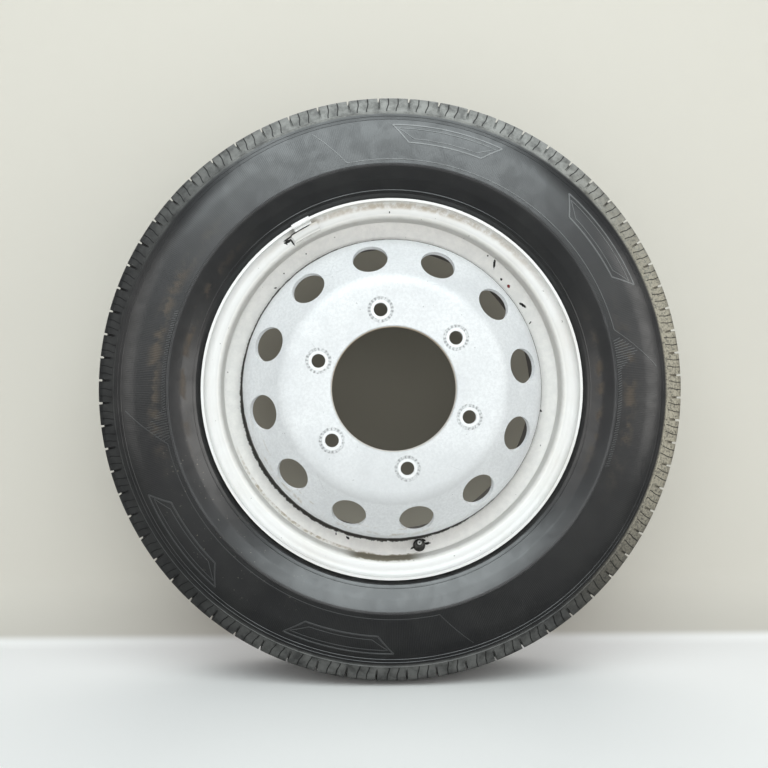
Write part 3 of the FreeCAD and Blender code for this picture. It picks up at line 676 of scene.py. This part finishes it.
def tyreRubber(name, raised):
    look = tyreFinish
    constants = dict(Coat_Roughness=look["coatRough"], Coat_IOR=look["coatIndex"])
    material, graph, shader = newMaterial(name, look, **constants)
    place, radius, clock, outboard = wheelPlace(graph)
    cloud = graph.grain(place, "cloudNoise")
    fine = graph.grain(place, "fineNoise")
    colour = graph.blend(graph.fit(cloud, "cloudSpan"), look["rubber"], look["worn"])
    # painted reflection: brown streaks towards both sides, where the curved wall mirrors warm surroundings
    sides = graph.most(*[clockMask(graph, clock, *part) for part in look["brownReflectionClocks"]])
    streak = graph.most(*[bandMask(graph, radius, *part) for part in look["brownReflectionBands"]])
    brownReflection = graph.times(sides, streak, graph.patches(place, "brownReflection"))
    colour = graph.lay(colour, brownReflection, "brownReflection", "brownReflectionShare")
    # dust on the tread, clay coloured on the right; at the top it is laid on strongest where light falls, as
    # painted light
    tread = graph.fit(radius, "treadSpan")
    lit = graph.fit(graph.span(clock, "dustClock"), "dustLight")
    ground = graph.times(graph.span(clock, "groundClock"), look["groundShare"])
    uneven = graph.patches(place, "dust")
    dustAndLight = graph.times(tread, uneven, graph.most(lit, ground))
    colour = graph.lay(colour, dustAndLight, "dust")
    clay = graph.times(graph.span(clock, "clayClock"), tread, graph.fit(fine, "claySpan"))
    colour = graph.lay(colour, clay, "clay", "clayShare")
    # dried splashes low on the left
    splash = graph.times(graph.span(clock, "splashClock"), graph.band(radius, "splashBand"))
    drops = graph.times(splash, graph.patches(place, "splash"))
    colour = graph.lay(colour, drops, "clay", "splashShare")
    height = graph.times(fine, look["fineHeight"])
    if raised:
        # the raised lines laid on lighter, most at the top: partly rubbed, partly a painted highlight
        colour = graph.lay(colour, graph.fit(graph.span(clock, "rubbedAndHighlightClock"), "rubbedAndHighlightSpan"), "rubbedAndHighlight")
    else:
        cut = sipeMask(graph, radius, outboard)
        colour = graph.lay(colour, cut, "cut", "sipeShare")
        lines = graph.math("SINE", graph.times(graph.math("RADIANS", clock), look["hatchLines"]))
        hatch = graph.times(graph.band(radius, "hatchBand"), lines, look["hatchHeight"])
        height = graph.minus(graph.plus(height, hatch), graph.times(cut, look["sipeDepth"]))
    graph.feed(shader.inputs["Base Color"], colour)
    smooth = graph.plus(graph.fit(radius, "sideRough"), graph.sway(cloud, look["cloudRough"]))
    graph.feed(shader.inputs["Roughness"], graph.most(smooth, graph.fit(dustAndLight, "dustRough")))
    wiped = graph.patches(place, "coat")
    coat = graph.remap(graph.most(tread, brownReflection), 0.0, look["dryFull"], wiped, look["dryCoat"])
    graph.feed(shader.inputs["Coat Weight"], coat)
    bumpInto(graph, shader, height, *look["bump"])
    return material


# moulded tyre: one closed ring swept round the wheel, with its slots in the columns
tyre = dict(
    crown=345.0,  # tread radius
    crownHalf=38.0,  # half of the flat crown
    crownBend=40.0,
    shoulder=(338.0, 76.0, 14.0),
    sideUpper=(300.0, 92.5, 70.0),
    crease=(255.5, 97.0, 9.0),
    sideLower=(241.0, 90.3, 30.0),
    clinch=(226.06, 80.95, 4.5),
    hug=(214.66, 69.55, 9.8),
    heel=(203.1, 69.55, 6.5),
    toe=(201.7, 53.85, 1.5),
    linerFoot=(212.8, 53.85, 9.5),
    linerSide=(282.0, 98.0, 55.0),
    linerTop=(330.0, 66.2, 20.0),
    grooves=(16.0, 47.0),
    grooveHalf=4.5,
    grooveFloorHalf=3.15,
    grooveDepth=5.5,
    slots=68,
    slotClock=92.8,
    slotSwing=4.3,
    slotWaves=2,
    slotHalf=1.3,
    slotDraft=0.3,
    slotDepth=4.5,
    slotFoot=322.5,
    notchFrom=30.0,  # short notches in the middle ribs
    notchDepth=3.0,
    notchDraft=0.4,
    blockSteps=6,
    treadBend=6.0,  # degrees a step in the bends
    sideBend=4.0,
    beadBend=18.0,
    clinchTurn=2.4,  # above the clinch, where the ridges' wall ends
    rowGap=0.6,
    ridgeTop=0.5,  # share of a ridge's width
    slotFade=0.62,  # share of the shoulder over which a slot deepens
    slack=0.01,
    sharp=32.0,
    ridges=((319.4, 0.6, 0.8), (313.6, 0.35, 0.5), (309.6, 0.35, 0.5), (256.6, 0.5, 0.9), (229.2, 0.45, 0.6)),
    backRidges=((319.4, 0.6, 0.8), (311.4, 0.35, 0.5), (256.6, 0.5, 0.9)),
)


def roundedPath(corners, degreesPerStep):
    spots = [Vector(corner[:2]) for corner in corners]
    path = []
    for i, corner in enumerate(corners):
        if len(corner) < 3 or i in (0, len(corners) - 1):
            path.append(spots[i])
            continue
        back = (spots[i - 1] - spots[i]).normalized()
        ahead = (spots[i + 1] - spots[i]).normalized()
        half = back.angle(ahead) / 2
        centre = spots[i] + (back + ahead).normalized() * (corner[2] / math.sin(half))
        start = spots[i] + back * (corner[2] / math.tan(half)) - centre
        turn = math.pi - 2 * half
        if start.x * ahead.y - start.y * ahead.x < 0:
            turn = -turn
        steps = max(2, math.ceil(math.degrees(abs(turn)) / degreesPerStep))
        for k in range(steps + 1):
            angle = turn * k / steps
            path.append(centre + Vector((
                start.x * math.cos(angle) - start.y * math.sin(angle),
                start.x * math.sin(angle) + start.y * math.cos(angle),
            )))
    return path


def treadRadius(place):
    run = tyre["shoulder"][1] - tyre["crownHalf"]
    fall = tyre["crown"] - tyre["shoulder"][0]
    return tyre["crown"] - max(0.0, place - tyre["crownHalf"]) * fall / run


def grooveCorners(place):
    floor = treadRadius(place) - tyre["grooveDepth"]
    outer, inner = tyre["grooveHalf"], tyre["grooveFloorHalf"]
    return [
        (treadRadius(place - outer), place - outer),
        (floor, place - inner),
        (floor, place + inner),
        (treadRadius(place + outer), place + outer),
    ]


def treadPath():
    inner, outer = tyre["grooves"]
    notch = tyre["notchFrom"]
    corners = [(tyre["crown"], 0.0)]
    corners += grooveCorners(inner)
    corners += [(tyre["crown"], notch - tyre["notchDraft"]), (tyre["crown"], notch)]
    corners.append((tyre["crown"], tyre["crownHalf"], tyre["crownBend"]))
    corners += grooveCorners(outer)
    return roundedPath(corners + [tyre["shoulder"][:2]], tyre["treadBend"])[:-1]


def sidePath(ridges):
    lip = tyre["grooves"][1] + tyre["grooveHalf"]
    corners = [tyre[name] for name in ("shoulder", "sideUpper", "crease", "sideLower", "clinch", "hug")]
    smooth = roundedPath([(treadRadius(lip), lip)] + corners, tyre["sideBend"])[1:]
    lowest = tyre["clinch"][0] + tyre["clinchTurn"]
    turnEnd = next(i for i, spot in enumerate(smooth) if spot.x < lowest)
    gap = tyre["rowGap"]
    wall = smooth[:turnEnd + 1]
    path = smooth[:turnEnd]
    for radius, height, half in ridges:
        path = [spot for spot in path if abs(spot.x - radius) > half + gap]
        crest = half * tyre["ridgeTop"]
        for shift, rise in ((half, 0.0), (crest, height), (-crest, height), (-half, 0.0)):
            place, normal = wallAt(wall, radius + shift)
            path.append(place + normal * rise)
    foot = tyre["slotFoot"]
    path = [spot for spot in path if abs(spot.x - foot) > gap]
    path.append(wallAt(wall, foot)[0])
    path.sort(key=lambda spot: -spot.x)
    return path + smooth[turnEnd:-1], wall


def wallAt(wall, radius):
    for upper, lower in zip(wall, wall[1:]):
        if upper.x >= radius >= lower.x:
            share = (upper.x - radius) / max(1e-9, upper.x - lower.x)
            along = (lower - upper).normalized()
            return upper.lerp(lower, share), Vector((along.y, -along.x))
    raise ValueError(f"no tyre wall at radius {radius}")


def beadPath():
    corners = [tyre[name] for name in ("hug", "heel", "toe", "linerFoot", "linerSide", "linerTop")]
    corners = [tyre["clinch"][:2]] + corners + [(tyre["linerTop"][0], 0.0)]
    return roundedPath(corners, tyre["beadBend"])[1:]


def slotDepthAt(spot):
    radius, place = spot
    outer = tyre["grooves"][1]
    half = tyre["grooveHalf"] - tyre["slack"]
    if place >= outer + half and radius > tyre["slotFoot"]:
        fade = (radius - tyre["slotFoot"]) / (tyre["slotFade"] * (tyre["shoulder"][0] - tyre["slotFoot"]))
        return tyre["slotDepth"] * min(1.0, fade)
    if tyre["notchFrom"] - tyre["slack"] <= place <= outer - half:
        return tyre["notchDepth"]
    return 0.0


def halfRing(ridges):
    side, wall = sidePath(ridges)
    outside = treadPath() + side
    rows = []
    for i, spot in enumerate(outside):
        along = (outside[min(i + 1, len(outside) - 1)] - outside[max(i - 1, 0)]).normalized()
        depth = slotDepthAt(spot)
        rows.append((spot, spot - Vector((along.y, -along.x)) * depth if depth else spot))
    return rows + [(spot, spot) for spot in beadPath()], wall


def slotAngle(i):
    even = math.radians(360.0 * i / tyre["slots"])
    swing = math.radians(tyre["slotSwing"]) * math.sin(tyre["slotWaves"] * even)
    return math.radians(tyre["slotClock"]) + even + swing


def tyreColumns():
    half = tyre["slotHalf"] / tyre["shoulder"][0]
    draft = tyre["slotDraft"] / tyre["shoulder"][0]
    columns = []
    for i in range(tyre["slots"]):
        here, after = slotAngle(i), slotAngle(i + 1)
        pitch = after - here
        for turn, sunk in ((-half, 0), (draft - half, 1), (half - draft, 1), (half, 0)):
            columns.append((here + turn, sunk, i + turn / pitch))
        for k in range(1, tyre["blockSteps"]):
            angle = here + half + (pitch - 2 * half) * k / tyre["blockSteps"]
            columns.append((angle, 0, i + (angle - here) / pitch))
    return columns


def newPiece(name, points, faces, material):
    mesh = bpy.data.meshes.new(name)
    mesh.from_pydata(points, [], faces)
    mesh.shade_smooth()
    mesh.materials.append(material)
    piece = bpy.data.objects.new(name, mesh)
    bpy.context.scene.collection.objects.link(piece)
    return piece


def makeTyre(material):
    front, wall = halfRing(tyre["ridges"])
    rear, _ = halfRing(tyre["backRidges"])
    mirror = Vector((1.0, -1.0))
    ring = front + [(top * mirror, floor * mirror) for top, floor in rear[::-1][1:-1]]
    columns = tyreColumns()
    points = []
    for angle, sunk, _ in columns:
        for row in ring:
            radius, place = row[sunk]
            points.append(onWheel(radius, place, angle))
    count, turns = len(ring), len(columns)
    faces = []
    for c in range(turns):
        near, far = c * count, (c + 1) % turns * count
        for r in range(count):
            below = (r + 1) % count
            faces.append((near + r, far + r, far + below, near + below))
    piece = newPiece("tyre_moulding", points, faces, material)
    phases = piece.data.uv_layers.new(name="treadPitch")
    values = []
    for c in range(turns):
        here = columns[c][2]
        after = columns[c + 1][2] if c + 1 < turns else columns[0][2] + tyre["slots"]
        for r in range(count):
            values += [here, r / count, after, r / count, after, (r + 1) / count, here, (r + 1) / count]
    phases.data.foreach_set("uv", values)
    piece.data.set_sharp_from_angle(angle=math.radians(tyre["sharp"]))
    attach(piece, wheel["body"])
    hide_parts("tyre")
    print("tyre moulding:", len(faces), "faces,", count, "rows,", turns, "columns")
    return wall


# raised lines on both side walls of the tyre
sideLines = dict(
    broad=1.15,  # half widths
    thin=0.55,
    height=0.5,
    sink=0.4,
    crest=0.6,  # share of the width
    step=1.5,  # degrees between points along an arc
    rise=8.0,  # most between points across the wall
    sharp=30.0,
    frames=(77.8, 35.7, 257.8, 215.7),
    frameOuter=(302.5, 12.3),
    frameInner=(282.0, 8.6),
    frameGap=4.4,
    frameSlant=1.4,
    panelEnds=((107.6, 101.5), (184.7, 193.7), (5.0, 15.0), (287.6, 281.6)),
    panelOuter=304.6,
    panelInner=262.0,
    arcs=((15.0, 101.5), (193.7, 281.6)),
    hatchInner=257.8,
    hatchTall=4.4,
    hatchRoof=2.5,
    hatchPitch=0.62,
    hatchLean=0.5,
    hatchFrom=(160.0, -20.0),
    hatchFlare=24.5,  # where the strip begins to widen, from its start
    hatchWiden=5.4,
    hatchEnd=33.0,
)


def sidePoint(wall, radius, clock, side):
    spot, normal = wallAt(wall, radius)
    angle = math.radians(clock)
    out = Vector((normal.x * math.cos(angle), -normal.y * side, normal.x * math.sin(angle)))
    return Vector(onWheel(spot.x, spot.y * side, angle)), out


def addRib(shape, wall, start, end, side, half):
    look = sideLines
    points, faces = shape
    span = abs(end[1] - start[1])
    steps = max(1, math.ceil(max(span / look["step"], abs(end[0] - start[0]) / look["rise"])))
    trail = []
    for i in range(steps + 1):
        share = i / steps
        trail.append(sidePoint(wall, start[0] + (end[0] - start[0]) * share,
                               start[1] + (end[1] - start[1]) * share, side))
    first = len(points)
    top, foot, crest = look["height"], -look["sink"], look["crest"]
    profile = ((-1.0, foot), (-crest, top), (crest, top), (1.0, foot))
    for i, (spot, out) in enumerate(trail):
        along = (trail[min(i + 1, steps)][0] - trail[max(i - 1, 0)][0]).normalized()
        across = out.cross(along) * side
        for shift, rise in profile:
            points.append(spot + across * (shift * half * mm) + out * (rise * mm))
    count = len(profile)
    last = first + count * steps
    for here in range(first, last, count):
        for k in range(count):
            after = (k + 1) % count
            faces.append((here + k, here + after, here + count + after, here + count + k))
    faces.append(tuple(range(first, first + count))[::-1])
    faces.append(tuple(range(last, last + count)))


def addFrames(shape, wall, side):
    look = sideLines
    for middle in look["frames"]:
        for inset, half in ((0.0, look["broad"]), (look["frameGap"], look["thin"])):
            top, topHalf = look["frameOuter"]
            foot, footHalf = look["frameInner"]
            slant = math.degrees(inset / foot) * look["frameSlant"]
            top, foot = top - inset, foot + inset
            topHalf, footHalf = topHalf - slant, footHalf - slant
            corners = [
                (top, middle - topHalf),
                (foot, middle - footHalf),
                (foot, middle + footHalf),
                (top, middle + topHalf),
            ]
            for start, end in zip(corners, corners[1:] + corners[:1]):
                addRib(shape, wall, start, end, side, half)


def addPanels(shape, wall, side):
    look = sideLines
    for outer, inner in look["panelEnds"]:
        addRib(shape, wall, (look["panelOuter"], outer), (look["panelInner"], inner), side, look["thin"])
    for start, end in look["arcs"]:
        addRib(shape, wall, (look["panelInner"], start), (look["panelInner"], end), side, look["thin"])


def addHatch(shape, wall, side):
    look = sideLines
    outer, inner = look["panelEnds"][1]
    for start in look["hatchFrom"]:
        for i in range(int(look["hatchEnd"] / look["hatchPitch"])):
            turn = look["hatchPitch"] * i
            flare = max(0.0, turn - look["hatchFlare"]) * look["hatchWiden"]
            slant = (turn + look["hatchFrom"][0] - outer) / (inner - outer)
            roof = look["panelOuter"] + (look["panelInner"] - look["panelOuter"]) * slant - look["hatchRoof"]
            top = min(look["hatchInner"] + look["hatchTall"] + flare, roof)
            foot = (look["hatchInner"], start + turn)
            addRib(shape, wall, foot, (top, start + turn + look["hatchLean"]), side, look["thin"])


def makeSideLines(wall, material):
    for name, side in (("tyre_side_lines", 1), ("tyre_side_lines_back", -1)):
        shape = ([], [])
        addFrames(shape, wall, side)
        addPanels(shape, wall, side)
        if side > 0:
            addHatch(shape, wall, side)
        piece = newPiece(name, *shape, material)
        piece.data.set_sharp_from_angle(angle=math.radians(sideLines["sharp"]))
        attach(piece, wheel["body"])
        print(name + ":", len(shape[1]), "faces")


# spring of the valve core, copied into a piece of its own; the real spring shortens as the pin is pressed
spring = dict(
    node="valve_core_spring",
    joint="valve_pin_press",
    slot="spring_steel",
)


def jointNamed(name):
    return next(joint for joint in frame["joints"] if joint["name"] == name)


def makeSpring():
    mesh = nodes[spring["node"]].data.copy()
    piece = bpy.data.objects.new("valve_core_coil", mesh)
    bpy.context.scene.collection.objects.link(piece)
    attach(piece, wheel["body"])
    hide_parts(spring["node"])
    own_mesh(piece)


finishes = {name: smallMaterial(name) for name in smallFinish}
finishes["disc"] = discPaint()
finishes["rim"] = rimPaint("rimPaint", rimFinish["paint"])
# the weight takes the rim's finish with a darker paint, a painted shade that sinks it into the flange's tone
# under the lip
finishes["weight"] = rimPaint("weightShadedPaint", rimFinish["weight"])
finishes["cap"] = capPlastic()
dressing = dict(
    rim="rim", weld_beads="rim", disc="disc", tyre="valveRubber", valve_body="valveRubber",
    valve_tube="valveBrass", valve_core_plug="valveBrass", valve_core_barrel="valveBrass",
    valve_core_pin="valveBrass", valve_core_seal="sealRubber", valve_core_cup="sealRubber",
    valve_cap_gasket="sealRubber", valve_core_spring="springSteel", valve_cap="cap",
    balance_weight="weight", balance_clip="clipSteel",
)
for node, thing in nodes.items():
    thing.data.materials.clear()
    thing.data.materials.append(finishes[dressing[node]])
    thing.data.shade_smooth()
    thing.data.set_sharp_from_angle(angle=math.radians(wheel["sharp"]))
print("materials on", len(nodes), "nodes")
makeSpring()
tyreWall = makeTyre(tyreRubber("tyreRubber", False))
makeSideLines(tyreWall, tyreRubber("tyreRaisedRubber", True))

# floor, backdrop, lamps and camera
stage = dict(
    floor=-345.0,
    wall=300.0,  # backdrop's place behind the hub seat
    cove=88.0,
    coveSteps=16,
    coveLift=0.2,  # keeps the cove's foot off the floor
    coveFade=(2.0, 10.0),  # heights between which the floor's colour gives way
    reach=6000.0,
    height=5000.0,
    floorColour=(0.96, 0.96, 0.94, 1.0),
    floorMirrored=(0.15, 0.15, 0.145, 1.0),  # as the shiny rubber reflects it
    air=(0.98, 0.98, 1.0, 1.0),
    airMirrored=(0.40, 0.40, 0.41, 1.0),
    airGlow=0.28,
    wallColour=(0.60, 0.575, 0.515, 1.0),
    shadeColour=(0.15, 0.14, 0.112, 1.0),  # dark card behind the wheel
    shadeEdge=(0.36, 0.34, 0.285, 1.0),
    shadeRing=(95.0, 200.0),
    shadePlace=213.0,
    shadeSize=206.0,
    shadeSteps=64,
    rough=0.8,
)


def stageSheet(name, rows, material):
    steps = len(rows)
    points = []
    for side in (-stage["reach"], stage["reach"]):
        points += [(side * mm, y * mm, z * mm) for y, z in rows]
    faces = [(i, steps + i, steps + i + 1, i + 1) for i in range(steps - 1)]
    newPiece(name, points, faces, material)


def floorMaterial():
    material, graph, shader = newMaterial("studioFloor", stage, Roughness=stage["rough"])
    mirrored = graph.add("ShaderNodeLightPath").outputs["Is Glossy Ray"]
    floor = graph.blend(mirrored, stage["floorColour"], stage["floorMirrored"])
    graph.feed(shader.inputs["Base Color"], floor)
    return material


def screenMaterial(name, colourOf):
    material, graph, shader = newMaterial(name, stage, Roughness=stage["rough"])
    graph.feed(shader.inputs["Base Color"], colourOf(graph))
    out = next(node for node in graph.tree.nodes if node.type == "OUTPUT_MATERIAL")
    # only the camera sees it, from the front, so it neither lights nor shades the wheel
    seen = graph.add("ShaderNodeLightPath").outputs["Is Camera Ray"]
    back = graph.add("ShaderNodeNewGeometry").outputs["Backfacing"]
    mix = graph.add("ShaderNodeMixShader")
    graph.feed(mix.inputs[0], graph.times(seen, graph.minus(1.0, back)))
    graph.feed(mix.inputs[1], graph.add("ShaderNodeBsdfTransparent").outputs[0])
    graph.feed(mix.inputs[2], shader.outputs[0])
    graph.feed(out.inputs["Surface"], mix.outputs[0])
    return material


def wallColour(graph):
    foot = [(stage["floor"] + height) * mm for height in stage["coveFade"]]
    low = graph.remap(graph.parts(graph.place())[2], *foot, 1.0, 0.0)
    return graph.blend(low, stage["wallColour"], stage["floorColour"])


def shadeColour(graph):
    radius = wheelPlace(graph)[1]
    return graph.blend(graph.fit(radius, "shadeRing"), stage["shadeColour"], stage["shadeEdge"])


def makeShade():
    steps = stage["shadeSteps"]
    place = wheel["outset"] - stage["shadePlace"]
    points = [onWheel(stage["shadeSize"], place, math.tau * i / steps) for i in range(steps)]
    material = screenMaterial("studioShade", shadeColour)
    newPiece("studioShade", points, [tuple(range(steps))], material)


def makeStage():
    floor, wall, cove, steps = stage["floor"], stage["wall"], stage["cove"], stage["coveSteps"]
    stageSheet("studioFloor", [(-stage["reach"], floor), (stage["reach"], floor)], floorMaterial())
    foot = floor + stage["coveLift"]
    rows = []
    for i in range(steps + 1):
        angle = math.radians(90.0 * i / steps)
        rows.append((wall - cove + cove * math.sin(angle), foot + cove - cove * math.cos(angle)))
    rows.append((wall, stage["height"]))
    stageSheet("studioWall", rows, screenMaterial("studioWall", wallColour))
    makeShade()


# each panel: degrees to the right and up as seen from the wheel, metres away, size, brightness;
# a hidden one lights without being mirrored in the rubber
lamps = dict(
    overhead=dict(turn=-2.0, rise=46.5, away=2.3, size=(2.5, 1.75), glow=3.1, tint=(0.90, 0.985, 1.0)),
    right=dict(turn=50.0, rise=5.0, away=2.2, size=(0.9, 1.6), glow=1.6, tint=(1.0, 0.985, 0.95)),
    left=dict(turn=-50.0, rise=5.0, away=2.2, size=(0.9, 1.6), glow=0.9, tint=(1.0, 0.985, 0.95)),
    front=dict(turn=-2.0, rise=3.0, away=2.6, size=(2.0, 1.6), glow=0.8, tint=(1.0, 1.0, 1.0)),
    fill=dict(turn=0.0, rise=4.0, away=2.2, size=(2.8, 0.9), glow=1.6, tint=(1.0, 1.0, 1.0), hidden=True),
    behind=dict(turn=172.0, rise=38.0, away=2.4, size=(2.4, 1.6), glow=1.8, tint=(1.0, 0.99, 0.97)),
)


def makeLamps():
    for name, lamp in lamps.items():
        wide, tall = lamp["size"]
        data = bpy.data.lights.new(name, "AREA")
        data.shape = "RECTANGLE"
        data.size, data.size_y = wide, tall
        data.energy = lamp["glow"] * math.pi * wide * tall
        data.color = lamp["tint"]
        thing = bpy.data.objects.new(name, data)
        turn, rise = math.radians(lamp["turn"]), math.radians(lamp["rise"])
        away = Vector((math.sin(turn) * math.cos(rise), -math.cos(turn) * math.cos(rise), math.sin(rise)))
        thing.location = away * lamp["away"]
        thing.rotation_euler = (-away).to_track_quat("-Z", "Y").to_euler()
        thing.visible_glossy = not lamp.get("hidden", False)
        bpy.context.scene.collection.objects.link(thing)
    world = bpy.data.worlds.new("studioAir")
    world.use_nodes = True
    graph = Graph(world.node_tree)
    background = world.node_tree.nodes["Background"]
    mirrored = graph.add("ShaderNodeLightPath").outputs["Is Glossy Ray"]
    graph.feed(background.inputs["Color"], graph.blend(mirrored, stage["air"], stage["airMirrored"]))
    background.inputs["Strength"].default_value = stage["airGlow"]
    bpy.context.scene.world = world


# the photo's view, in metres and degrees
shot = dict(
    place=(-0.0437, -1.0735, 0.0),
    turn=(90.3, 0.0, -1.742),
    lens=44.84,
    sensor=36.0,
)


def makeCamera():
    data = bpy.data.cameras.new("photoView")
    data.lens = shot["lens"]
    data.sensor_width = shot["sensor"]
    camera = bpy.data.objects.new("photoView", data)
    camera.location = shot["place"]
    camera.rotation_euler = [math.radians(angle) for angle in shot["turn"]]
    bpy.context.scene.collection.objects.link(camera)
    bpy.context.scene.camera = camera


makeStage()
makeLamps()
makeCamera()
bpy.context.scene.view_settings.view_transform = "Standard"
print("stage, lamps and camera ready")
